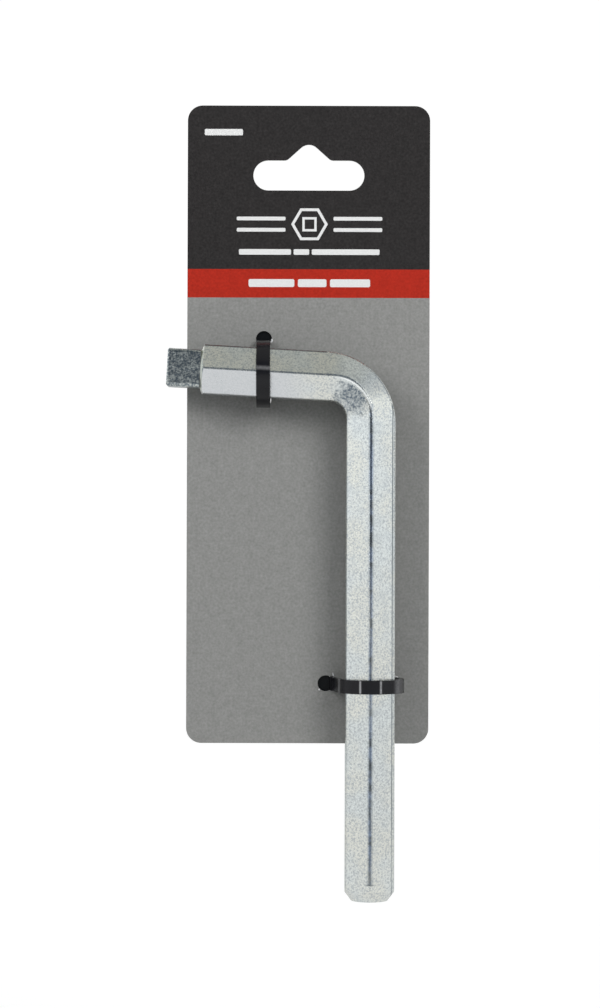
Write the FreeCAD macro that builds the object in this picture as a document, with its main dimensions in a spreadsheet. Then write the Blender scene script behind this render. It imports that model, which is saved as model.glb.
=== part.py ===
import FreeCAD, Part

import math
import os

import Sketcher
from FreeCAD import Placement, Rotation, Vector

# A radiator valve spanner on its hang card, in millimetres.
# It hangs upright: +Z is up, +X is to the right as seen from the front, and the front faces -Y.
# The origin is the crown of the card's hang slot, on the card's front face, where the peg carries it.

SIZES = {
    # The hang card, and its euro slot with the pointed hat that centres it on a peg
    "card_width": 64.6,
    "card_height": 170.0,
    "card_thickness": 0.6,
    "card_corner_radius": 4.0,
    "slot_crown_below_top": 10.4,
    "slot_length": 29.6,
    "slot_height": 8.0,
    "hat_base_width": 11.7,
    "hat_rise": 4.2,
    "hat_crown_radius": 3.0,
    "hat_foot_radius": 1.8,
    # The bent hexagon bar, 13 mm across the flats, with a 10 mm male square
    "bar_across_flats": 13.0,
    "bar_edge_radius": 1.1,
    "bar_corner_right": 16.45,
    "bar_corner_below_top": 73.2,
    "long_arm_length": 137.4,
    "short_arm_length": 53.6,
    "short_arm_rise": 3.1,
    "outer_bend_radius": 18.9,
    "middle_bend_radius": 10.0,
    "inner_bend_radius": 4.3,
    "end_cone_depth": 1.6,
    "end_cone_length": 2.2,
    "square_across_flats": 10.0,
    "square_length": 8.7,
    "square_corner_radius": 1.0,
    "square_tip_chamfer": 0.35,
    "shoulder_slope_length": 0.6,
    "bar_card_gap": 0.05,
    # The cable ties: the strap, its holes in the card, the head behind the card and the ratchet in it
    "upper_tie_left": 11.85,
    "upper_tie_head_hole": 9.42,
    "upper_tie_pull": 0.9,
    "lower_tie_above_bottom": 16.0,
    "lower_tie_head_hole": 11.57,
    "lower_tie_pull": 1.67,
    "tie_root_hole": 6.85,
    "head_hole_diameter": 4.3,
    "root_hole_diameter": 3.94,
    "torn_notch_gap": 0.08,
    "tie_width": 3.6,
    "tie_thickness": 1.1,
    "tie_bar_gap": 0.06,
    "tie_wrap_shift": 0.3,
    "tie_bend_radius": 1.5,
    "tie_root_bend_radius": 0.8,
    "tie_card_gap": 0.05,
    "tie_tail_length": 1.6,
    "tooth_pitch": 1.0,
    "tooth_depth": 0.3,
    "tooth_lean": 0.2,
    "ladder_width": 2.4,
    "head_width": 6.3,
    "head_height": 4.6,
    "head_wall": 1.3,
    "head_nose_length": 2.2,
    "head_nose_thickness": 1.7,
    "head_corner_radius": 0.7,
    "window_gap": 0.12,
    "window_width": 4.0,
    "pawl_room": 2.1,
    "pawl_floor": 0.9,
    "pawl_lip": 0.15,
    "pawl_width": 3.4,
    "pawl_thickness": 0.8,
    "pawl_length": 3.6,
    "pawl_gap": 0.06,
}

NEAR = 1e-6
HALVINGS = 60
LOFT_SECTIONS = 13
CUT_BEYOND = 1.0
TOOTH_CLEARANCE = 0.06
NOTCH_SHARE_OF_PITCH = 0.42
SMALLEST_TOOTHED_BEND = 3.0
PAWL_HEEL_SHARE = 1 / 3


def make_sheet(document):
    """The spreadsheet of driving dimensions, one alias for each size."""
    sheet = document.addObject("Spreadsheet::Sheet", "sizes")
    for row, (alias, value) in enumerate(SIZES.items(), start=1):
        sheet.set(f"A{row}", alias)
        sheet.set(f"B{row}", str(value))
        sheet.setAlias(f"B{row}", alias)
    document.recompute()
    return sheet


def bind(item, **expressions):
    """Bind properties of a document object to expressions on the sheet."""
    for name, expression in expressions.items():
        item.setExpression(name, expression)


# ---- flat outlines -----------------------------------------------------------------------------------------


def corner_arc(before, corner, after, radius):
    """The start, middle and end of the arc that rounds one corner between two straight lines."""
    inward = (before - corner).normalize()
    outward = (after - corner).normalize()
    half_angle = inward.getAngle(outward) / 2
    bisector = (inward + outward).normalize()
    reach = radius / math.tan(half_angle)
    middle = corner + bisector * (radius / math.sin(half_angle) - radius)
    return corner + inward * reach, middle, corner + outward * reach


def rounded_loop(corners):
    """Closed outline of straight lines whose corners, (point, radius) pairs, are rounded by tangent arcs."""
    rounds = []
    for number, (point, radius) in enumerate(corners):
        before = corners[number - 1][0]
        after = corners[(number + 1) % len(corners)][0]
        if radius > 0:
            rounds.append(corner_arc(before, point, after, radius))
        else:
            rounds.append((point, None, point))
    outline = []
    for number, (start, middle, end) in enumerate(rounds):
        if middle is not None:
            outline.append(Part.Arc(start, middle, end))
        following = rounds[(number + 1) % len(rounds)][0]
        if end.distanceToPoint(following) > NEAR:
            outline.append(Part.LineSegment(end, following))
    return outline


class StrapPath:
    """The centre line of a strap: straight runs joined by tangent arcs, followed from its tail end."""

    def __init__(self, corners):
        points = [point for point, _ in corners]
        stops = [(points[0], None, points[0])]
        for number in range(1, len(corners) - 1):
            before, corner, after = points[number - 1:number + 2]
            stops.append(corner_arc(before, corner, after, corners[number][1]))
        stops.append((points[-1], None, points[-1]))
        self.pieces = []
        for number, (start, middle, end) in enumerate(stops):
            if middle is not None:
                self.pieces.append(self.bend(start, end, points[number], corners[number][1]))
            if number + 1 < len(stops):
                following = stops[number + 1][0]
                run = end.distanceToPoint(following)
                if run > NEAR:
                    self.pieces.append((end, (following - end).normalize(), run, 0.0))
        self.length = sum(piece[2] for piece in self.pieces)

    @staticmethod
    def bend(start, end, corner, radius):
        """One arc as (start, heading, length, signed radius); a positive radius turns to the left."""
        heading = (corner - start).normalize()
        leaving = (end - corner).normalize()
        turn = heading.getAngle(leaving)
        side = 1.0 if heading.cross(leaving).z > 0 else -1.0
        return start, heading, radius * turn, side * radius

    @staticmethod
    def along(piece, distance):
        """The point and heading at a distance along one piece."""
        start, heading, _, radius = piece
        if radius == 0:
            return start + heading * distance, heading
        turn = Rotation(Vector(0, 0, 1), math.degrees(distance / radius))
        centre = start + Vector(-heading.y, heading.x, 0) * radius
        return centre + turn.multVec(start - centre), turn.multVec(heading)

    def at(self, distance):
        """The point, heading and signed bend radius at a distance from the start."""
        for piece in self.pieces:
            if distance <= piece[2] + NEAR:
                point, heading = self.along(piece, distance)
                return point, heading, piece[3]
            distance -= piece[2]
        raise ValueError("beyond the end of the strap")

    def parallel(self, offset):
        """The line that runs beside the centre line, this far to its left."""
        beside = []
        for piece in self.pieces:
            stations = [self.along(piece, piece[2] * share) for share in (0, 0.5, 1)]
            start, middle, end = [p + Vector(-d.y, d.x, 0) * offset for p, d in stations]
            beside.append(Part.LineSegment(start, end) if piece[3] == 0 else Part.Arc(start, middle, end))
        return beside

    def band(self, thickness):
        """The closed outline of the strap's edge-on view."""
        left = self.parallel(thickness / 2)
        right = self.parallel(-thickness / 2)
        tail_cap = Part.LineSegment(left[0].StartPoint, right[0].StartPoint)
        root_cap = Part.LineSegment(left[-1].EndPoint, right[-1].EndPoint)
        return left + [root_cap] + right + [tail_cap]


# ---- PartDesign helpers ------------------------------------------------------------------------------------


def origin_plane(body, role):
    """One of the body's own origin planes."""
    return next(feature for feature in body.Origin.OriginFeatures if feature.Role == role)


def add_sketch(body, name, role, geometry):
    """A sketch on one of the body's origin planes, with its line ends joined."""
    sketch = body.newObject("Sketcher::SketchObject", name)
    sketch.AttachmentSupport = (origin_plane(body, role), [""])
    sketch.MapMode = "FlatFace"
    sketch.addGeometry(geometry, False)
    if sketch.detectMissingPointOnPointConstraints(NEAR, False):
        sketch.makeMissingPointOnPointCoincident()
    return sketch


def constrain(sketch, kind, places, value, expression):
    """A dimension in a sketch that follows the sheet."""
    number = sketch.addConstraint(Sketcher.Constraint(kind, *places, value))
    sketch.setExpression(f"Constraints[{number}]", expression)


def add_pad(body, name, sketch, length_expression, symmetric=False):
    """A pad whose length follows the sheet."""
    pad = body.newObject("PartDesign::Pad", name)
    pad.Profile = sketch
    if symmetric:
        pad.SideType = "Symmetric"
    bind(pad, Length=length_expression)
    body.Document.recompute()
    return pad


def add_cut(body, name, kind, sketch, **expressions):
    """A pocket or groove that must take material away."""
    before = body.Shape.Volume
    cut = body.newObject(f"PartDesign::{kind}", name)
    cut.Profile = sketch
    if kind == "Groove":
        cut.ReferenceAxis = (sketch, ["H_Axis"])
        cut.Angle = 360.0
    else:
        cut.SideType = "Symmetric"
    bind(cut, **expressions)
    body.Document.recompute()
    if body.Shape.Volume > before - NEAR:
        raise ValueError(f"{name} cuts nothing")
    return cut


def rectangle(low, high):
    """The four sides of a rectangle between two opposite corners."""
    corners = [low, Vector(high.x, low.y, 0), high, Vector(low.x, high.y, 0)]
    return rounded_loop([(corner, 0.0) for corner in corners])


# ---- the hang card -----------------------------------------------------------------------------------------


def card_frame(v):
    """Heights of the card's edges and the places of its tie holes, in the part's own frame."""
    corner_height = v["slot_crown_below_top"] - v["bar_corner_below_top"]
    tie_across = v["bar_corner_right"] + v["upper_tie_left"]
    upper_axis = corner_height + tie_across * math.tan(math.radians(v["short_arm_rise"]))
    lower_height = v["slot_crown_below_top"] - v["card_height"] + v["lower_tie_above_bottom"]
    return {
        "top": v["slot_crown_below_top"],
        "bottom": v["slot_crown_below_top"] - v["card_height"],
        "bar_corner": Vector(v["bar_corner_right"], 0, corner_height),
        "upper_tie": Vector(-v["upper_tie_left"], 0, upper_axis),
        "lower_tie": Vector(v["bar_corner_right"], 0, lower_height),
    }


def rounded_card_outline(body, v):
    """The card's outline: a rectangle with four equal round corners, fully held by the sheet."""
    frame = card_frame(v)
    half = v["card_width"] / 2
    radius = v["card_corner_radius"]
    corners = [
        (Vector(-half, frame["bottom"], 0), radius),
        (Vector(half, frame["bottom"], 0), radius),
        (Vector(half, frame["top"], 0), radius),
        (Vector(-half, frame["top"], 0), radius),
    ]
    sketch = add_sketch(body, "card_outline", "XZ_Plane", rounded_loop(corners))
    arcs = [0, 2, 4, 6]
    bottom, right, top, left = 1, 3, 5, 7
    for arc in arcs:
        constrain(sketch, "Radius", [arc], radius, "sizes.card_corner_radius")
    constrain(sketch, "DistanceX", [-1, 1, right, 1], half, "sizes.card_width / 2")
    constrain(sketch, "DistanceX", [left, 1, -1, 1], half, "sizes.card_width / 2")
    constrain(sketch, "DistanceY", [-1, 1, top, 1], frame["top"], "sizes.slot_crown_below_top")
    depth = "sizes.card_height - sizes.slot_crown_below_top"
    constrain(sketch, "DistanceY", [bottom, 1, -1, 1], -frame["bottom"], depth)
    return sketch


def slot_outline(v):
    """The euro slot: a long slot with round ends and a peaked hat in the middle of its top edge."""
    crown_reach = v["hat_crown_radius"]
    floor = -v["hat_rise"] - v["slot_height"]
    shelf = -v["hat_rise"]
    end_radius = v["slot_height"] / 2
    half_length = v["slot_length"] / 2
    half_base = v["hat_base_width"] / 2
    slope = hat_slope(half_base, v["hat_rise"], crown_reach)
    peak = shelf + half_base * math.tan(slope)
    return rounded_loop(
        [
            (Vector(-half_length, floor, 0), end_radius),
            (Vector(half_length, floor, 0), end_radius),
            (Vector(half_length, shelf, 0), end_radius),
            (Vector(half_base, shelf, 0), v["hat_foot_radius"]),
            (Vector(0, peak, 0), crown_reach),
            (Vector(-half_base, shelf, 0), v["hat_foot_radius"]),
            (Vector(-half_length, shelf, 0), end_radius),
        ]
    )


def hat_slope(half_base, rise, crown_radius):
    """The slope of the hat's sides whose rounded crown ends exactly at the rise."""
    low, high = 0.0, math.radians(80)
    for _ in range(HALVINGS):
        slope = (low + high) / 2
        crown = half_base * math.tan(slope) - crown_radius * (1 / math.cos(slope) - 1)
        low, high = (slope, high) if crown < rise else (low, slope)
    return slope


def tie_holes(v):
    """The four punched holes: the size and place of each, and the expressions that hold it on the card."""
    frame = card_frame(v)
    corner = "sizes.bar_corner_below_top - sizes.slot_crown_below_top"
    rise = "(sizes.bar_corner_right + sizes.upper_tie_left) * tan(sizes.short_arm_rise * 1 deg)"
    axis = f"{rise} - ({corner})"
    low_row = "sizes.slot_crown_below_top - sizes.card_height + sizes.lower_tie_above_bottom"
    left, right = "-sizes.upper_tie_left", "sizes.bar_corner_right"
    upper, low = frame["upper_tie"], frame["lower_tie"]
    return [
        ("head_hole_diameter", upper.x, upper.z + v["upper_tie_head_hole"],
         left, f"{axis} + sizes.upper_tie_head_hole"),
        ("root_hole_diameter", upper.x, upper.z - v["tie_root_hole"],
         left, f"{axis} - sizes.tie_root_hole"),
        ("head_hole_diameter", low.x - v["lower_tie_head_hole"], low.z,
         f"{right} - sizes.lower_tie_head_hole", low_row),
        ("root_hole_diameter", low.x + v["tie_root_hole"], low.z,
         f"{right} + sizes.tie_root_hole", low_row),
    ]


def torn_notches(v):
    """Where the pulled straps have torn the two head holes towards the bar: outlines as wide as the strap."""
    frame = card_frame(v)
    half_width = v["tie_width"] / 2 + v["torn_notch_gap"]
    beyond_axis = v["tie_thickness"] / 2 + v["torn_notch_gap"]
    upper_hole = frame["upper_tie"] + Vector(0, 0, v["upper_tie_head_hole"])
    lower_hole = frame["lower_tie"] - Vector(v["lower_tie_head_hole"], 0, 0)
    upper_end = upper_hole.z - v["upper_tie_pull"] - beyond_axis
    lower_end = lower_hole.x + v["lower_tie_pull"] + beyond_axis
    upper = rectangle(Vector(upper_hole.x - half_width, upper_end, 0),
                      Vector(upper_hole.x + half_width, upper_hole.z, 0))
    lower = rectangle(Vector(lower_hole.x, lower_hole.z - half_width, 0),
                      Vector(lower_end, lower_hole.z + half_width, 0))
    return upper + lower


def make_hang_card(document, v):
    """The printed card, a flat blank with its hang slot and tie holes punched through."""
    body = document.addObject("PartDesign::Body", "hang_card")
    blank = add_pad(body, "card_blank", rounded_card_outline(body, v), "sizes.card_thickness")
    blank.Reversed = True
    document.recompute()
    through = "sizes.card_thickness * 4"
    slot = add_sketch(body, "slot_outline", "XZ_Plane", slot_outline(v))
    add_cut(body, "hang_slot", "Pocket", slot, Length=through)
    circles = []
    for diameter, across, up, _, _ in tie_holes(v):
        circles.append(Part.Circle(Vector(across, up, 0), Vector(0, 0, 1), v[diameter] / 2))
    punched = add_sketch(body, "tie_hole_circles", "XZ_Plane", circles)
    for number, (diameter, across, up, across_expression, up_expression) in enumerate(tie_holes(v)):
        constrain(punched, "Radius", [number], v[diameter] / 2, f"sizes.{diameter} / 2")
        constrain(punched, "DistanceX", [-1, 1, number, 3], across, across_expression)
        constrain(punched, "DistanceY", [-1, 1, number, 3], up, up_expression)
    add_cut(body, "tie_holes", "Pocket", punched, Length=through)
    torn = add_sketch(body, "torn_notch_outlines", "XZ_Plane", torn_notches(v))
    add_cut(body, "torn_notches", "Pocket", torn, Length=through)
    return body


# ---- the spanner -------------------------------------------------------------------------------------------


def bar_reach(v):
    """Distance from the bar's axis to its rounded corner edges."""
    point_reach = v["bar_across_flats"] / math.sqrt(3)
    return point_reach - v["bar_edge_radius"] * (2 / math.sqrt(3) - 1)


def bar_axis_depth(v):
    """How far the bar's axis lies in front of the card: the bar rests on one of its corner edges."""
    return bar_reach(v) + v["bar_card_gap"]


def hexagon_section(origin, across, outer, middle, inner, v):
    """
    One rounded hexagon section in the plane of 'across' and Y. The three reaches along 'across' give the
    outer flat, the front and back corners and the inner flat.
    """
    side = v["bar_across_flats"] / math.sqrt(3)
    flat_half = side / 2
    deep = Vector(0, 1, 0)
    places = [(outer, flat_half), (middle, side), (inner, flat_half), (inner, -flat_half), (middle, -side),
              (outer, -flat_half)]
    corners = [(origin + across * reach + deep * depth, v["bar_edge_radius"]) for reach, depth in places]
    return Part.Wire([edge.toShape() for edge in rounded_loop(corners)])


def bend_reach(angle, offset, radius, v):
    """
    How far out along the section plane at this angle a lengthwise line of the bar lies. The line runs
    parallel to both arms at 'offset' from their axes and turns through 'radius'. The section planes fan out
    from the centre of the outer bend.
    """
    turn = math.radians(90 - v["short_arm_rise"])
    hub_inset = v["outer_bend_radius"] - v["bar_across_flats"] / 2
    centre_inset = radius - offset
    slack = hub_inset - centre_inset
    diagonal = slack / math.cos(turn / 2)
    on_long_arm = (offset + hub_inset) / math.cos(angle)
    if on_long_arm * math.sin(angle) <= slack * math.tan(turn / 2) + NEAR:
        return on_long_arm
    on_short_arm = (offset + hub_inset) / math.cos(turn - angle)
    if on_short_arm * math.sin(turn - angle) <= slack * math.tan(turn / 2) + NEAR:
        return on_short_arm
    swing = angle - turn / 2
    return diagonal * math.cos(swing) + math.sqrt(radius**2 - (diagonal * math.sin(swing)) ** 2)


def bent_bar_blank(document, v):
    """
    The hexagon bar after cold bending: two straight arms and an elbow lofted through sections that fan round
    the bend. Bending stretches the outer flat thin and crowds the inner one, so the outer flat, the corner
    edges and the inner flat each turn through a radius of their own. The axes of the arms cross at the body's
    origin.
    """
    half = v["bar_across_flats"] / 2
    turn = math.radians(90 - v["short_arm_rise"])
    inset = v["outer_bend_radius"] - half
    setback = inset * math.tan(turn / 2)
    hub = Vector(-inset, 0, -setback)
    sections = []
    for step in range(LOFT_SECTIONS):
        angle = turn * step / (LOFT_SECTIONS - 1)
        across = Vector(math.cos(angle), 0, math.sin(angle))
        reaches = [
            bend_reach(angle, half, v["outer_bend_radius"], v),
            bend_reach(angle, 0, v["middle_bend_radius"], v),
            bend_reach(angle, -half, v["inner_bend_radius"], v),
        ]
        sections.append(hexagon_section(hub, across, *reaches, v))
    elbow = Part.makeLoft(sections, True, False)
    long_arm = Part.Face(sections[0]).extrude(Vector(0, 0, -1) * (v["long_arm_length"] - setback))
    short_arm = Part.Face(sections[-1]).extrude(short_arm_direction(v) * (v["short_arm_length"] - setback))
    blank = document.addObject("Part::Feature", "bent_bar_blank")
    blank.Shape = elbow.fuse([long_arm, short_arm])
    return blank


def short_arm_direction(v):
    """The way the short arm points: to the left, and up a little because the bend is short of square."""
    rise = math.radians(v["short_arm_rise"])
    return Vector(-math.cos(rise), 0, math.sin(rise))


def turn_end_cone(body, v):
    """The free end of the long arm, turned to a short cone that rounds off the six corners."""
    end = v["long_arm_length"]
    half = v["bar_across_flats"] / 2
    slope = v["end_cone_depth"] / v["end_cone_length"]
    outside = v["bar_across_flats"]
    back = (outside - half) / slope + v["end_cone_length"]
    profile = [
        (Vector(end, half - v["end_cone_depth"], 0), 0.0),
        (Vector(end + 1, half - v["end_cone_depth"], 0), 0.0),
        (Vector(end + 1, outside, 0), 0.0),
        (Vector(end - back, outside, 0), 0.0),
    ]
    sketch = add_sketch(body, "end_cone_profile", "XZ_Plane", rounded_loop(profile))
    sketch.AttachmentOffset = Placement(Vector(), Rotation(Vector(0, 0, 1), -90))
    add_cut(body, "end_cone", "Groove", sketch)


def form_square(body, v):
    """The male square on the short arm: four flats down to a sloped shoulder, and a chamfered tip."""
    half = v["square_across_flats"] / 2
    outside = v["bar_across_flats"]
    tip = v["short_arm_length"]
    flats_start = tip - v["square_length"]
    turn_to_arm = Placement(Vector(), Rotation(Vector(0, 0, 1), 180 - v["short_arm_rise"]))
    # The flats, cut by a ring-shaped outline that is square inside.
    ring = rectangle(Vector(-outside, -outside, 0), Vector(outside, outside, 0))
    rounding = v["square_corner_radius"]
    signs = [(-1, -1), (1, -1), (1, 1), (-1, 1)]
    ring += rounded_loop([(Vector(half * a, half * b, 0), rounding) for a, b in signs])
    sketch = add_sketch(body, "square_flats", "YZ_Plane", ring)
    sketch.AttachmentOffset = arm_section_offset(tip - v["square_length"] / 2, v)
    first_arc, floor_line, right_line, top_line, left_line = 4, 5, 7, 9, 11
    constrain(sketch, "DistanceX", [left_line, 1, right_line, 1], 2 * half, "sizes.square_across_flats")
    constrain(sketch, "DistanceY", [floor_line, 1, top_line, 1], 2 * half, "sizes.square_across_flats")
    constrain(sketch, "Radius", [first_arc], rounding, "sizes.square_corner_radius")
    add_cut(body, "square", "Pocket", sketch, Length="sizes.square_length")
    # The shoulder slopes back from the square's flats to the hexagon's.
    slope = v["shoulder_slope_length"] / (v["bar_across_flats"] / 2 - half)
    shoulder = [
        (Vector(flats_start, half, 0), 0.0),
        (Vector(flats_start, outside, 0), 0.0),
        (Vector(flats_start - slope * (outside - half), outside, 0), 0.0),
    ]
    cone = add_sketch(body, "shoulder_profile", "XZ_Plane", rounded_loop(shoulder))
    cone.AttachmentOffset = turn_to_arm
    add_cut(body, "shoulder", "Groove", cone)
    # The tip's four edges are broken by a light chamfer.
    squared = body.Tip
    edges = tip_edges(squared.Shape, short_arm_direction(v), tip)
    chamfer = body.newObject("PartDesign::Chamfer", "square_tip")
    chamfer.Base = (squared, edges)
    bind(chamfer, Size="sizes.square_tip_chamfer")
    body.Document.recompute()


def arm_section_offset(distance, v):
    """Attachment offset from the YZ plane to the section of the short arm at this distance along it."""
    place = short_arm_direction(v) * distance
    return Placement(Vector(place.y, place.z, place.x), Rotation(Vector(1, 0, 0), v["short_arm_rise"]))


def tip_edges(shape, arm, tip):
    """Names of the edges that lie in the end plane of the short arm."""
    names = []
    for number, edge in enumerate(shape.Edges, start=1):
        if all(abs(vertex.Point.dot(arm) - tip) < 0.001 for vertex in edge.Vertexes):
            names.append(f"Edge{number}")
    return names


def make_valve_spanner(document, v):
    """The L-shaped spanner, machined from the bent hexagon bar."""
    blank = bent_bar_blank(document, v)
    body = document.addObject("PartDesign::Body", "valve_spanner")
    body.BaseFeature = blank
    document.recompute()
    turn_end_cone(body, v)
    form_square(body, v)
    corner = card_frame(v)["bar_corner"]
    body.Placement = Placement(Vector(corner.x, -bar_axis_depth(v), corner.z), Rotation())
    return body


# ---- the cable ties ----------------------------------------------------------------------------------------
# Each tie is modelled in the plane of its loop. Its x runs along the card from the head's hole towards the
# other hole, its y runs backwards through the card, and its origin is on the axis of the bar.


def tie_layout(strap_place, tilt_slack, v):
    """Places shared by the strap, head and pawl of one tie, in the plane of its loop."""
    front = bar_axis_depth(v)
    back = front + v["card_thickness"]
    half = v["tie_thickness"] / 2
    head_front = back + v["tie_card_gap"]
    return {
        "card_front": front,
        "head_strap": strap_place,
        "root_strap": v["tie_root_hole"],
        "head_front": head_front,
        "head_back": head_front + v["head_height"],
        "window_low": strap_place - half - v["window_gap"],
        "window_high": strap_place + half + v["window_gap"],
        "pawl_wall": strap_place + half + v["pawl_room"],
        "strap_face": strap_place + half,
        "wrap_radius": wrap_reach(v) + v["tie_bar_gap"] + half + tilt_slack,
        "root_depth": head_front + half,
    }


def wrap_reach(v):
    """
    From the centre that the stiff strap curls round to the bar's corner on the head's side, where it bears.
    The centre is a little nearer the root, because the strap bulges there.
    """
    reach = bar_reach(v)
    across = reach * math.cos(math.radians(30)) + v["tie_wrap_shift"]
    return math.hypot(across, reach * math.sin(math.radians(30)))


def tangent_corner(point, centre, radius):
    """Where the tangent from a point beside a circle meets the tangent across the circle's front."""
    spoke = point - centre
    side = math.copysign(1, spoke.x)
    touch = math.acos(radius / spoke.Length) - math.atan2(spoke.y, abs(spoke.x))
    half_turn = (math.pi / 2 - touch) / 2
    middle = touch + half_turn
    reach = radius / math.cos(half_turn)
    return centre + Vector(side * math.cos(middle), -math.sin(middle), 0) * reach


def strap_path(place, v):
    """The strap from its trimmed tail, through head and card, round the bar, and back to the head's root."""
    tail = Vector(place["head_strap"], place["head_back"] + v["tie_tail_length"], 0)
    near = Vector(place["head_strap"], place["card_front"] - v["tie_bend_radius"] / 2, 0)
    far = Vector(place["root_strap"], place["card_front"] - v["tie_bend_radius"] / 2, 0)
    centre = Vector(v["tie_wrap_shift"], 0, 0)
    radius = place["wrap_radius"]
    behind = Vector(place["root_strap"], place["root_depth"], 0)
    root = Vector(place["pawl_wall"] + v["head_wall"] / 2, place["root_depth"], 0)
    return StrapPath(
        [
            (tail, 0.0),
            (near, v["tie_bend_radius"]),
            (tangent_corner(near, centre, radius), radius),
            (tangent_corner(far, centre, radius), radius),
            (far, v["tie_bend_radius"]),
            (behind, v["tie_root_bend_radius"]),
            (root, 0.0),
        ]
    )


def tooth_notches(path, place, v):
    """The ladder of notches on the inner face of the strap, from its tail to the root side's last bend."""
    half = v["tie_thickness"] / 2
    notches = []
    distance = v["tooth_pitch"] / 2
    end = path.length - (place["root_strap"] - place["pawl_wall"]) - 3 * v["tie_thickness"]
    while distance + v["tooth_pitch"] < end:
        middle = path.at(distance + v["tooth_pitch"] / 2)
        if middle[2] == 0 or abs(middle[2]) > SMALLEST_TOOTHED_BEND:
            notches.append(notch_outline(middle[0], middle[1], half, v))
        distance += v["tooth_pitch"]
    return notches


def notch_outline(point, heading, half, v):
    """One notch: a steep locking flank on the tail side and a long slope on the other."""
    inward = Vector(-heading.y, heading.x, 0)
    over = TOOTH_CLEARANCE
    reach = v["tooth_pitch"] * NOTCH_SHARE_OF_PITCH
    steep = v["tooth_lean"] * (v["tooth_depth"] + over) / v["tooth_depth"]
    deep = point + inward * (half - v["tooth_depth"]) - heading * (reach - v["tooth_lean"])
    tail_side = deep + inward * (v["tooth_depth"] + over) - heading * steep
    slope_side = point + inward * (half + over) + heading * reach
    return rounded_loop([(deep, 0.0), (tail_side, 0.0), (slope_side, 0.0)])


def pawl_hinge(place, v):
    """The axis of the pawl's living hinge, low in the head and close to the strap."""
    across = place["window_high"] + v["pawl_lip"] + v["pawl_gap"] + v["pawl_thickness"] / 2
    return Vector(across, place["head_front"] + v["pawl_floor"] - v["pawl_gap"], 0)


def make_cable_tie(document, name, place, v):
    """
    One nylon tie: its head, window and pawl hollow, then the strap, then the ladder of teeth. The head's
    flat nose covers the card's hole.
    """
    body = document.addObject("PartDesign::Body", name)
    path = strap_path(place, v)
    low = place["window_low"] - v["head_wall"]
    high = place["pawl_wall"] + v["head_wall"]
    nose = low - v["head_nose_length"]
    corner = v["head_corner_radius"]
    block = [
        (Vector(nose, place["head_front"], 0), 0.0),
        (Vector(high, place["head_front"], 0), 0.0),
        (Vector(high, place["head_back"], 0), corner),
        (Vector(low, place["head_back"], 0), corner),
        (Vector(nose, place["head_front"] + v["head_nose_thickness"], 0), corner),
    ]
    add_pad(body, "head", add_sketch(body, "head_outline", "XY_Plane", rounded_loop(block)),
            "sizes.head_width", True)
    window = rectangle(Vector(place["window_low"], place["head_front"] - CUT_BEYOND, 0),
                       Vector(place["window_high"], place["head_back"] + CUT_BEYOND, 0))
    add_cut(body, "window", "Pocket", add_sketch(body, "window_outline", "XY_Plane", window),
            Length="sizes.window_width")
    hollow_start = place["window_high"] - v["window_gap"] / 2
    hollow = rectangle(Vector(hollow_start, place["head_front"] + v["pawl_floor"], 0),
                       Vector(place["pawl_wall"], place["head_back"] + CUT_BEYOND, 0))
    add_cut(body, "pawl_hollow", "Pocket", add_sketch(body, "hollow_outline", "XY_Plane", hollow),
            Length="sizes.window_width")
    socket = Part.Circle(pawl_hinge(place, v), Vector(0, 0, 1), v["pawl_thickness"] / 2 + v["pawl_gap"])
    sketch = add_sketch(body, "hinge_socket", "XY_Plane", [socket])
    constrain(sketch, "Radius", [0], v["pawl_thickness"] / 2 + v["pawl_gap"],
              "sizes.pawl_thickness / 2 + sizes.pawl_gap")
    add_cut(body, "hinge_hollow", "Pocket", sketch, Length="sizes.window_width")
    add_pad(body, "strap", add_sketch(body, "strap_outline", "XY_Plane", path.band(v["tie_thickness"])),
            "sizes.tie_width", True)
    notches = []
    for notch in tooth_notches(path, place, v):
        notches += notch
    add_cut(body, "ladder", "Pocket", add_sketch(body, "tooth_outlines", "XY_Plane", notches),
            Length="sizes.ladder_width")
    return body


def make_pawl(document, name, place, v):
    """The pawl: a tongue that leans on the strap, with two teeth that sit in the strap's notches."""
    body = document.addObject("PartDesign::Body", name)
    hinge = pawl_hinge(place, v)
    half = v["pawl_thickness"] / 2
    tip = hinge.y + v["pawl_length"] - half
    face = place["strap_face"] + v["pawl_gap"]
    heel = v["pawl_length"] * PAWL_HEEL_SHARE
    root_radius = half - NEAR * half
    tongue = [
        (Vector(hinge.x - half, hinge.y - half, 0), root_radius),
        (Vector(hinge.x + half, hinge.y - half, 0), root_radius),
        (Vector(hinge.x + half, tip, 0), half / 2),
        (Vector(face, tip, 0), half / 4),
        (Vector(face, hinge.y + heel, 0), half),
        (Vector(hinge.x - half, hinge.y + heel / 2, 0), half),
    ]
    add_pad(body, "tongue", add_sketch(body, "tongue_outline", "XY_Plane", rounded_loop(tongue)),
            "sizes.pawl_width", True)
    path = strap_path(place, v)
    teeth = []
    for number in pawl_tooth_numbers(place, hinge, tip, v):
        point, heading, _ = path.at((number + 1) * v["tooth_pitch"])
        teeth += pawl_tooth(point, heading, v)
    if teeth:
        sketch = add_sketch(body, "tooth_outlines", "XY_Plane", teeth)
        add_pad(body, "teeth", sketch, "sizes.ladder_width - 2 * sizes.pawl_gap", True)
    return body


def pawl_tooth_numbers(place, hinge, tip, v):
    """The notches, counted from the tail, that the pawl's straight upper face covers."""
    tail = place["head_back"] + v["tie_tail_length"]
    heel = hinge.y + v["pawl_length"] * PAWL_HEEL_SHARE
    numbers = []
    number = 0
    while tail - (number + 1) * v["tooth_pitch"] > hinge.y:
        height = tail - (number + 1) * v["tooth_pitch"]
        if heel + v["tooth_pitch"] / 2 < height < tip - v["tooth_pitch"] / 2:
            numbers.append(number)
        number += 1
    return numbers


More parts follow.
